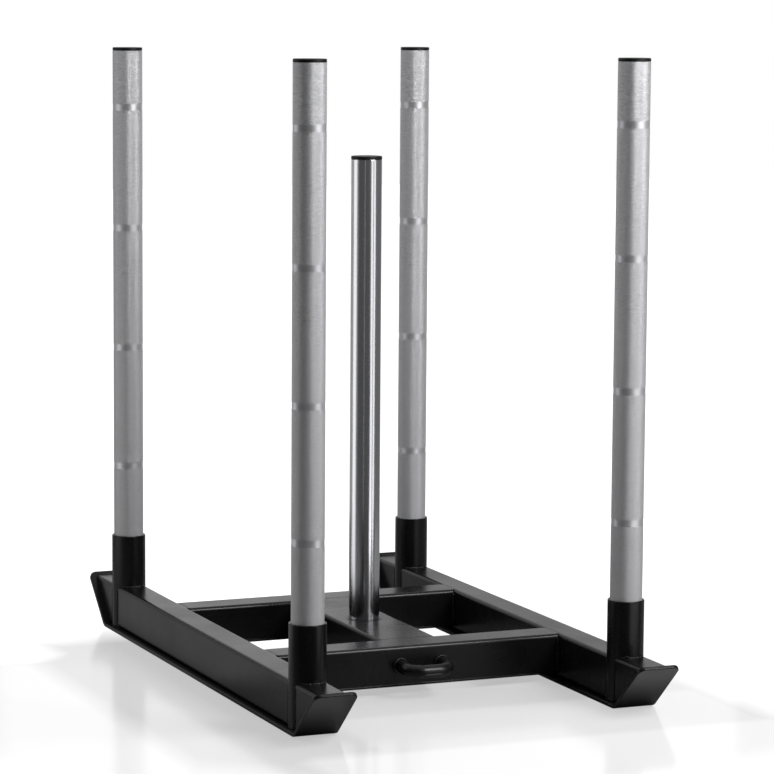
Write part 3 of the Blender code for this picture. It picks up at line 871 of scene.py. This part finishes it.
class SLED_OT_welds(bpy.types.Operator):
    """Weld beads round the sockets, at the skids' tips, at the crossbars and at the tow eye"""

    bl_idname = "sled.welds"
    bl_label = "Welds"

    # In shares of the weld's radius: how far a bead's line stands off, and how thick the bead is
    arc_out, arc_up = 0.2, 0.1
    tack_up, tack_half_length, tack_size = 0.9, 1.6, 1.4
    foot_out, foot_back, foot_size = 0.3, 0.2, 1.3
    fillet_in, fillet_size = 0.4, 1.25
    seam_size = 0.55
    # Points along a path
    arc_points, tip_points, foot_points = 40, 12, 49
    tack_angle = math.radians(-22.5)
    tip_inset = 0.0006
    seam_gap = 0.0004
    # Ground strips: points across and rows along the hollow, gap, ripple, and its radians per metre
    hollow_points, strip_rows, strip_gap = 8, 25, 0.00004
    ripple, ripple_paces = 0.00007, (610, 1370)

    def execute(self, context):
        sizes, finishes = chosen(context)
        welds = {corner + "_socket_weld": self.socket_arcs(sizes, x, y) for corner, x, y in CORNERS}
        welds["right_front_tack_weld"] = self.tack(sizes)
        welds.update({corner + "_tip_weld": self.tip(sizes, x, y) for corner, x, y in CORNERS})
        welds["tow_eye_weld"] = self.tow_feet(sizes)
        welds["crossbar_flush_weld"] = self.flush_joints(sizes)
        welds["crossbar_corner_weld"] = self.corner_fillets(sizes)
        welds.update({corner + "_seam_weld": self.sleeve_seams(sizes, x, y) for corner, x, y in CORNERS})
        for name, surface in welds.items():
            add_to_frame(name, finishes, surface)
        return {"FINISHED"}

    def socket_arcs(self, sizes, x, y):
        """Beads on the deck, over the two arcs where the rail's flat top meets the socket."""
        radius = sizes.weld
        away = SOCKET_RADIUS + radius * self.arc_out
        swing = math.asin((RAIL.width / 2 - sizes.tube_corner) / SOCKET_RADIUS)
        centre_x, centre_y = socket_centre(x, y)
        arcs = []
        for facing in (-1, 1):
            bow = facing * QUARTER_TURN + np.linspace(-swing, swing, self.arc_points)
            path = points_at(centre_x + away * np.cos(bow), centre_y + away * np.sin(bow),
                             DECK + radius * self.arc_up)
            arcs.append(bead(path, radius, sizes.weld_step))
        return joined(arcs)

    def tack(self, sizes):
        """Small lump at the foot of the right front socket."""
        radius, turn = sizes.weld, self.tack_angle
        spot = np.array([RAIL.x + SOCKET_RADIUS * math.sin(turn), -SOCKET.y - SOCKET_RADIUS * math.cos(turn),
                         DECK + radius * self.tack_up])
        aside = np.array([math.cos(turn), math.sin(turn), 0.0]) * radius * self.tack_half_length
        return bead([spot - aside, spot + aside], radius * self.tack_size, sizes.weld_step)

    def tip(self, sizes, x, y):
        """Bead across the top of a short rail, where the skid's tip meets it."""
        half = RAIL.width / 2 - sizes.tube_corner
        across = np.linspace(-half, half, self.tip_points)
        path = points_at(x * RAIL.x + across, y * (RAIL_END.rear - self.tip_inset), DECK - JOINT_GAP)
        return bead(path, sizes.weld, sizes.weld_step)

    def tow_feet(self, sizes):
        """Beads round the two feet of the tow eye."""
        radius = sizes.weld
        away = sizes.tow_bar / 2 + radius * self.foot_out
        bow = np.linspace(0, FULL_TURN, self.foot_points)
        beads = []
        for side in (-1, 1):
            path = points_at(side * sizes.tow_half + away * np.cos(bow), FRONT_FACE - radius * self.foot_back,
                             sizes.tow_foot + away * np.sin(bow))
            beads.append(bead(path, radius * self.foot_size, sizes.weld_step, closed=True))
        return joined(beads)

    def strip(self, radius, half_length):
        """Weld that fills the hollow over a tube's rounded edge, ground almost flush.

        At a height h under the tubes' tops, the edge lies at gap + r - sqrt(r^2 - (r + h)^2) from the
        other tube's end, and the strip runs from that end to the edge, carried along its length. It
        stays clear of both by strip_gap, and its ground face has ripples of two sines.
        """
        rows, gap = self.strip_rows, self.strip_gap
        heights = np.linspace(-JOINT_GAP, -radius, self.hollow_points)
        edge = JOINT_GAP + radius - np.sqrt(radius ** 2 - (radius + heights) ** 2) - gap
        profile = np.concatenate([[(gap, -radius), (gap, -JOINT_GAP)], np.stack([edge, heights], 1)])
        stations = np.linspace(-half_length, half_length, rows)
        points = np.concatenate([np.broadcast_to(profile, (rows, *profile.shape)),
                                 np.broadcast_to(stations[:, None, None], (rows, len(profile), 1))], 2)
        slow, fast = self.ripple_paces
        ripple = self.ripple * (np.sin(stations * slow) + np.sin(stations * fast + 1))
        points[:, 1:3, 1] += ripple[:, None]
        return points.reshape(-1, 3), capped_tube(rows, len(profile))

    def flush_joints(self, sizes):
        """Strips between the beam and the crossbars, and between the crossbars and the rails."""
        radius = sizes.tube_corner
        points, faces = self.strip(radius, BEAM.width / 2 - radius)
        away, height, along = points.T
        strips = [(points_at(along, y * (BEAM.depth / 2 + away), DECK + height), faces) for _, y in ENDS]
        points, faces = self.strip(radius, CROSSBAR.depth / 2 - radius)
        away, height, along = points.T
        strips += [(points_at(x * (CROSSBAR.width / 2 + away), y * CROSSBAR.y + along, DECK + height), faces)
                   for _, x, y in CORNERS]
        return joined(strips)

    def upright_beads(self, sizes, places, height, radius):
        """Beads at places, over a tube's height between its rounded corners."""
        low, high = DECK - height + sizes.tube_corner, DECK - sizes.tube_corner
        return joined([bead([(x, y, low), (x, y, high)], radius, sizes.weld_step) for x, y in places])

    def corner_fillets(self, sizes):
        """Upright beads in the corners between crossbars, rails and beam."""
        inset = sizes.weld * self.fillet_in
        end_x, side_y = CROSSBAR.width / 2 - inset, CROSSBAR.depth / 2 + inset
        places = []
        for _, x, y in CORNERS:
            places += [(x * end_x, y * CROSSBAR.y + face * side_y) for face in (-1, 1)]
            places.append((x * (BEAM.width / 2 + inset), y * (BEAM.depth / 2 - inset)))
        return self.upright_beads(sizes, places, CROSSBAR.height, sizes.weld * self.fillet_size)

    def sleeve_seams(self, sizes, x, y):
        """Thin upright beads where the sides of the rails meet the round sockets."""
        half = RAIL.width / 2
        away = math.sqrt(SOCKET_RADIUS ** 2 - half ** 2) + self.seam_gap
        centre_x, centre_y = socket_centre(x, y)
        places = [(centre_x + across * half, centre_y + along * away)
                  for across in (-1, 1) for along in (-1, 1)]
        return self.upright_beads(sizes, places, RAIL.height, sizes.weld * self.seam_size)


class SLED_OT_uprights(bpy.types.Operator):
    """Knurled tubes with smooth bands"""

    bl_idname = "sled.uprights"
    bl_label = "Uprights"

    bands = 4
    # The knurling starts this high over the foot and is full a little higher
    knurl_start, knurl_ramp = 0.004, 0.0005
    # Height of the slope at a band's edge, as a share of its depth
    band_slope = 1 / 6

    def profile(self, sizes, low, top):
        """Outline of the wall from the foot up the outside and over the top: radius, height and knurling."""
        outer, inner = POST_RADIUS, POST_RADIUS - sizes.post_wall
        depth, edge = sizes.band_depth, sizes.post_edge
        knurl_low, slope = low + self.knurl_start, depth * self.band_slope
        profile = [(inner, low + edge, 0), (inner + edge, low, 0), (outer - edge, low, 0),
                   (outer, low + edge, 0), (outer, knurl_low, 0), (outer, knurl_low + self.knurl_ramp, 1)]
        for band in reversed(range(self.bands)):
            middle = top - sizes.band_from_top - band * sizes.band_pitch
            under, over = middle - sizes.band_height / 2, middle + sizes.band_height / 2
            profile += [(outer, under, 1), (outer - depth, under + slope, 0),
                        (outer - depth, over - slope, 0), (outer, over, 1)]
        profile += [(outer, top - edge, 1), (outer - edge, top, 1), (inner + edge, top, 0),
                    (inner, top - edge, 0)]
        return np.array(profile)

    def execute(self, context):
        """The UV layer holds metres: the way round the tube, and the height."""
        sizes, finishes = chosen(context)
        solid = place_of("right_rear_upright")
        profile = self.profile(sizes, solid.low, solid.top)
        rows, height = len(profile), profile[:, 1]
        i, j = np.meshgrid(np.arange(rows), np.arange(TUBE_SIDES), indexing="ij")
        i_next = (i + 1) % rows
        u = np.stack([j, j + 1, j + 1, j], -1) * FULL_TURN * POST_RADIUS / TUBE_SIDES
        v = np.stack([height[i], height[i], height[i_next], height[i_next]], -1)
        knurled = np.repeat(profile[:, 2], TUBE_SIDES)
        for corner, x, y in CORNERS:
            add_piece(corner + "_upright_tube", corner + "_post", knurled_steel(finishes),
                      turned(profile[:, :2], socket_centre(x, y), TUBE_SIDES, closed=True),
                      [corner + "_upright"], uv=np.stack([u, v], -1), fields={"knurled": knurled})
        return {"FINISHED"}


class SLED_OT_centre_post(bpy.types.Operator):
    """Polished tube for the weight plates"""

    bl_idname = "sled.centre_post"
    bl_label = "Centre post"

    edge_steps = 2

    def execute(self, context):
        sizes, finishes = chosen(context)
        solid = place_of("centre_post")
        inner, halfway = POST_RADIUS - sizes.post_wall, (solid.low + solid.top) / 2
        corners = [(inner, halfway), (inner, solid.low), (POST_RADIUS, solid.low), (POST_RADIUS, solid.top),
                   (inner, solid.top), (inner, halfway)]
        outline = filleted(corners, [sizes.post_edge] * 4, self.edge_steps)[:-1]
        add_piece("centre_post_tube", "middle_post", polished_steel(finishes),
                  turned(outline, (0, 0), TUBE_SIDES, closed=True), ["centre_post"])
        return {"FINISHED"}


class SLED_OT_plastics(bpy.types.Operator):
    """Caps on the posts and plugs in their feet"""

    bl_idname = "sled.plastics"
    bl_label = "Caps and plugs"

    sides = 64
    # Radius of the outer edge and steps round it, of a cap and of a plug
    cap_edge, cap_steps = 0.0014, 6
    plug_edge, plug_steps = 0.001, 5
    # How much slimmer a plug's flange is than the post, and radii under a flange and at a stub's end
    plug_inset, flange_edge, stub_edge = 0.0005, 0.0003, 0.0005

    def stopper(self, sizes, face, radius, flange, end, edge, steps):
        """Outline from the axis over the face and its edge, under the flange and round the hollow stub."""
        stub = POST_RADIUS - sizes.post_wall - JOINT_GAP
        inside = stub - sizes.plastic_wall
        corners = [(0, face), (radius, face), (radius, flange), (stub, flange), (stub, end), (inside, end),
                   (inside, flange), (0, flange)]
        return filleted(corners, (edge, self.flange_edge, 0, self.stub_edge, self.stub_edge, 0), steps)

    def execute(self, context):
        sizes, finishes = chosen(context)
        posts = [(corner + "_upright", corner + "_post", socket_centre(x, y)) for corner, x, y in CORNERS]
        posts.append(("centre_post", "middle_post", (0.0, 0.0)))
        for name, body, centre in posts:
            post, cap, plug = place_of(name), place_of(name + "_cap"), place_of(name + "_plug")
            top = self.stopper(sizes, cap.top, POST_RADIUS, post.top + JOINT_GAP, cap.low,
                               self.cap_edge, self.cap_steps)
            foot = self.stopper(sizes, plug.low, POST_RADIUS - self.plug_inset, post.low - JOINT_GAP,
                                plug.top, self.plug_edge, self.plug_steps)
            for kind, part, outline in (("_cap", "_top", top), ("_plug", "_foot", foot)):
                add_piece(name + kind + part, body, black_plastic(finishes),
                          turned(outline, centre, self.sides, closed=False), [name + kind])
        return {"FINISHED"}


# Floor and light

WHITE = (1.0, 1.0, 1.0, 1.0)
SQUARE = ((-1, -1), (1, -1), (1, 1), (-1, 1))
FLOOR_HALF = 12.0
FLOOR_DROP = 0.0002
FLOOR_ROUGHNESS = 0.14
# Distances from the sled's middle between which the floor turns white for the camera
FLOOR_FADE = (0.70, 1.10)
# Parts of the floor with softness of the border and light: first as the camera sees them, then as mirrored
LIFTED_FLOOR = (((-0.20, -0.05), (0.32, 0.75), 0.06, 1.0), ((-3.0, 0.30), (3.0, 3.0), 0.25, 0.95),
                ((-3.0, -3.0), (-0.42, 3.0), 0.20, 0.64), ((0.39, -3.0), (3.0, 3.0), 0.20, 0.86),
                ((-0.30, -3.0), (0.50, -0.28), 0.20, 0.54), ((-0.42, -3.0), (0.60, -0.51), 0.20, 0.62),
                ((-3.0, 0.17), (-0.42, 3.0), 0.16, 0.95))
MIRRORED_FLOOR = (((-3.0, -3.0), (3.0, -0.57), 0.10, 0.06), ((-1.4, -0.10), (-0.25, 1.0), 0.20, 0.43),
                  ((-1.4, 0.10), (-0.75, 0.75), 0.05, 1.2), ((0.26, -1.45), (0.95, -0.84), 0.05, 2.2),
                  ((-0.34, -0.62), (-0.20, -0.475), 0.05, 0.72), ((0.20, -0.62), (0.40, -0.475), 0.05, 1.08))
# Cards round the sled, seen only in reflections: name, first and last angle from the front, top and light
CARDS = (("front_left_card", -81.7, -38.0, 2.2, 0.095), ("front_card", -38.0, 14.5, 2.2, 0.10),
         ("right_strip", 14.5, 50.0, 0.85, 1.5), ("right_card", 50.0, 126.0, 2.2, 0.18),
         ("left_strip", -126.5, -95.0, 2.2, 1.4), ("left_edge", -95.0, -81.7, 2.2, 0.3),
         ("left_card", -172.0, -126.5, 2.2, 0.44), ("right_back_card", 126.0, 158.0, 2.2, 0.68),
         ("left_back_card", 158.0, 188.0, 2.2, 0.85))
CARD_DISTANCE = 1.45
CARD_COLUMNS = 24
# A card over the front right: middle, width and height, and light
SOFTBOX_CARD = ((1.08, -2.07, 1.84), (1.0, 1.3), 20.0)
# Lamps: name, angle from the front, angle above the horizon, and watts
LAMPS = (("right_softbox", 49.0, 38.0, 58.0), ("left_softbox", -132.0, 35.0, 10.0))
LAMP_DISTANCE = 2.6
LAMP_SIZE = 1.5
LAMP_TARGET = Vector((0.0, 0.0, 0.45))
SENSOR_WIDTH = 36.0
VIEW_REACH = 60.0


def emptied_tree(owner):
    """The node tree of a new material or world, with none of its nodes."""
    owner.use_nodes = True
    owner.node_tree.nodes.clear()
    return owner.node_tree


def glow(tree, strength):
    """Shader node of white light."""
    return node(tree, "ShaderNodeEmission", {"Color": WHITE, "Strength": strength})


def mixed(tree, factor, first, second):
    """Mix of two shader nodes by a factor."""
    return node(tree, "ShaderNodeMixShader", {0: factor, 1: first.outputs[0], 2: second.outputs[0]})


class SLED_OT_stage(bpy.types.Operator):
    """Floor, soft light and the camera at the photograph's angle"""

    bl_idname = "sled.stage"
    bl_label = "Stage"

    def sheet(self, name, points, faces, material):
        """A surface of the stage."""
        mesh = bpy.data.meshes.new(name)
        mesh.from_pydata(points, [], faces)
        mesh.materials.append(material)
        return linked(name, mesh)

    def patch(self, tree, place, low, high, soft):
        """Mask of a level rectangle with soft borders: the product of its rises and falls along X and Y."""
        parts = node(tree, "ShaderNodeSeparateXYZ", {0: place})
        mask = 1.0
        for axis, start, end in zip("XY", low, high):
            for edge, half in ((start, soft / 2), (end, -soft / 2)):
                step = spread(tree, parts.outputs[axis], edge - half, edge + half, 0.0, 1.0)
                mask = maths(tree, "MULTIPLY", mask, step)
        return mask

    def floor(self, studio):
        """Pale floor with a faint sheen; the camera sees it lifted to white, more so far from the sled.

        Where a patch of MIRRORED_FLOOR lies, mirror rays see the patch's light in place of the floor.
        """
        material = bpy.data.materials.new("pale_floor")
        tree = emptied_tree(material)
        path = tree.nodes.new("ShaderNodeLightPath").outputs
        place = object_place(tree)
        chalk = node(tree, "ShaderNodeBsdfDiffuse", {"Color": (*studio.floor_white, 1.0)})
        gloss = node(tree, "ShaderNodeBsdfGlossy", {"Color": WHITE, "Roughness": FLOOR_ROUGHNESS})
        surface = mixed(tree, studio.floor_mirror, chalk, gloss)
        reach = node(tree, "ShaderNodeVectorMath", {0: place}, operation="LENGTH").outputs["Value"]
        white = spread(tree, reach, *FLOOR_FADE, studio.floor_lift, 1.0)
        for low, high, soft, light in LIFTED_FLOOR:
            here = self.patch(tree, place, low, high, soft)
            white = maths(tree, "MAXIMUM", white, maths(tree, "MULTIPLY", here, light))
        seen = maths(tree, "MAXIMUM", path["Is Camera Ray"], path["Is Transmission Ray"])
        lift = glow(tree, maths(tree, "MULTIPLY", seen, white))
        lifted = node(tree, "ShaderNodeAddShader", {0: surface.outputs[0], 1: lift.outputs[0]})
        tone, covered = 0.0, 0.0
        for low, high, soft, light in MIRRORED_FLOOR:
            here = self.patch(tree, place, low, high, soft)
            kept = maths(tree, "MULTIPLY", tone, maths(tree, "SUBTRACT", 1.0, here))
            tone = maths(tree, "ADD", kept, maths(tree, "MULTIPLY", here, light))
            covered = maths(tree, "MAXIMUM", covered, here)
        mirrored = maths(tree, "MULTIPLY", covered, path["Is Glossy Ray"])
        whole = mixed(tree, mirrored, lifted, glow(tree, tone))
        node(tree, "ShaderNodeOutputMaterial", {"Surface": whole.outputs[0]})
        corners = [(x * FLOOR_HALF, y * FLOOR_HALF, -FLOOR_DROP) for x, y in SQUARE]
        self.sheet("floor", corners, [(0, 1, 2, 3)], material)

    def mirrored_only(self, name, points, faces, tone):
        """A glowing surface that only reflections show."""
        material = bpy.data.materials.new(name)
        tree = emptied_tree(material)
        node(tree, "ShaderNodeOutputMaterial", {"Surface": glow(tree, tone).outputs[0]})
        thing = self.sheet(name, points, faces, material)
        for ray in ("camera", "diffuse", "shadow", "transmission", "volume_scatter"):
            setattr(thing, "visible_" + ray, False)

    def card(self, name, start, end, top, tone):
        """Card of even light, seen only in reflections: part of an upright cylinder round the sled.

        Its points lie at radius (sin a, -cos a) for angles a from the front, from the floor to its top.
        """
        bow = np.radians(np.linspace(start, end, CARD_COLUMNS))
        ring = CARD_DISTANCE * np.stack([np.sin(bow), -np.cos(bow)], 1)
        points = np.concatenate([np.hstack([ring, np.full((CARD_COLUMNS, 1), z)]) for z in (0.0, top)])
        self.mirrored_only(name, points.tolist(), grid_quads(2, CARD_COLUMNS, close_columns=False), tone)

    def softbox_card(self, name, centre, size, tone):
        """Card that faces the sled, seen only in reflections: it draws the light lines along the edges."""
        centre = Vector(centre)
        turn = centre.to_track_quat("Z", "Y").to_matrix()
        corners = [centre + turn @ Vector((i * size[0] / 2, j * size[1] / 2, 0)) for i, j in SQUARE]
        self.mirrored_only(name, corners, [(0, 1, 2, 3)], tone)

    def lamp(self, name, facing, rise, power):
        """Softbox at an angle from the front and above the horizon; it lights, and isn't mirrored."""
        facing, rise = math.radians(facing), math.radians(rise)
        back = Vector((math.sin(facing) * math.cos(rise), -math.cos(facing) * math.cos(rise), math.sin(rise)))
        light = bpy.data.lights.new(name, "AREA")
        light.shape = "SQUARE"
        light.size = LAMP_SIZE
        light.energy = power
        thing = linked(name, light)
        turn = back.to_track_quat("Z", "Y").to_matrix().to_4x4()
        thing.matrix_world = Matrix.Translation(LAMP_TARGET + LAMP_DISTANCE * back) @ turn
        thing.visible_camera = False
        thing.visible_glossy = False

    def world(self, studio):
        """White where it is seen or mirrored, and a soft even light for all else."""
        world = bpy.data.worlds.new("studio")
        tree = emptied_tree(world)
        path = tree.nodes.new("ShaderNodeLightPath").outputs
        seen = maths(tree, "MAXIMUM", path["Is Camera Ray"], path["Is Glossy Ray"])
        seen = maths(tree, "MAXIMUM", seen, path["Is Transmission Ray"])
        white = node(tree, "ShaderNodeBackground", {"Color": WHITE, "Strength": 1.0})
        soft = node(tree, "ShaderNodeBackground", {"Color": WHITE, "Strength": studio.soft_light})
        node(tree, "ShaderNodeOutputWorld", {"Surface": mixed(tree, seen, soft, white).outputs[0]})
        bpy.context.scene.world = world

    def camera(self, studio):
        """Camera axes from yaw, pitch and roll: the view, its level right and their cross, then rolled."""
        yaw, pitch, roll = studio.yaw, studio.pitch, studio.roll
        view = np.array([math.sin(yaw) * math.cos(pitch), math.cos(yaw) * math.cos(pitch), -math.sin(pitch)])
        right = np.array([math.cos(yaw), -math.sin(yaw), 0.0])
        up = np.cross(right, view)
        data = bpy.data.cameras.new("camera")
        data.sensor_width = SENSOR_WIDTH
        data.lens = studio.lens
        data.clip_end = VIEW_REACH
        axes = np.eye(4)
        axes[:3, 0] = math.cos(roll) * right + math.sin(roll) * up
        axes[:3, 1] = -math.sin(roll) * right + math.cos(roll) * up
        axes[:3, 2] = -view
        axes[:3, 3] = studio.place
        thing = linked("camera", data)
        thing.matrix_world = Matrix(axes.tolist())
        bpy.context.scene.camera = thing

    def execute(self, context):
        studio = context.scene.sled_studio
        self.floor(studio)
        self.world(studio)
        for lamp in LAMPS:
            self.lamp(*lamp)
        for card in CARDS:
            self.card(*card)
        self.softbox_card("softbox_card", *SOFTBOX_CARD)
        self.camera(studio)
        context.scene.view_settings.view_transform = "Standard"
        return {"FINISHED"}


class SLED_PT_sidebar(bpy.types.Panel):
    """Sizes, finishes, stage and the operators of the sled"""

    bl_label = "Weight sled"
    bl_idname = "SLED_PT_sidebar"
    bl_space_type = "VIEW_3D"
    bl_region_type = "UI"
    bl_category = "Sled"

    def draw(self, context):
        for group in (*chosen(context), context.scene.sled_studio):
            box = self.layout.box()
            for key in group.__annotations__:
                box.prop(group, key)
        column = self.layout.column()
        for operator in OPERATORS:
            column.operator(operator.bl_idname)


GROUPS = {"sled_sizes": SledSizes, "sled_finishes": SledFinishes, "sled_studio": SledStudio}
OPERATORS = (SLED_OT_skids, SLED_OT_rails, SLED_OT_crossbars, SLED_OT_sockets, SLED_OT_tow_eye, SLED_OT_welds,
             SLED_OT_uprights, SLED_OT_centre_post, SLED_OT_plastics, SLED_OT_stage)
CLASSES = (*GROUPS.values(), *OPERATORS, SLED_PT_sidebar)


def register():
    for thing in CLASSES:
        bpy.utils.register_class(thing)
    for key, group in GROUPS.items():
        setattr(bpy.types.Scene, key, bpy.props.PointerProperty(type=group))


def unregister():
    for key in GROUPS:
        delattr(bpy.types.Scene, key)
    for thing in reversed(CLASSES):
        bpy.utils.unregister_class(thing)


def main():
    register()
    for operator in OPERATORS:
        getattr(bpy.ops.sled, operator.bl_idname.split(".")[1])()


if __name__ == "__main__":
    main()
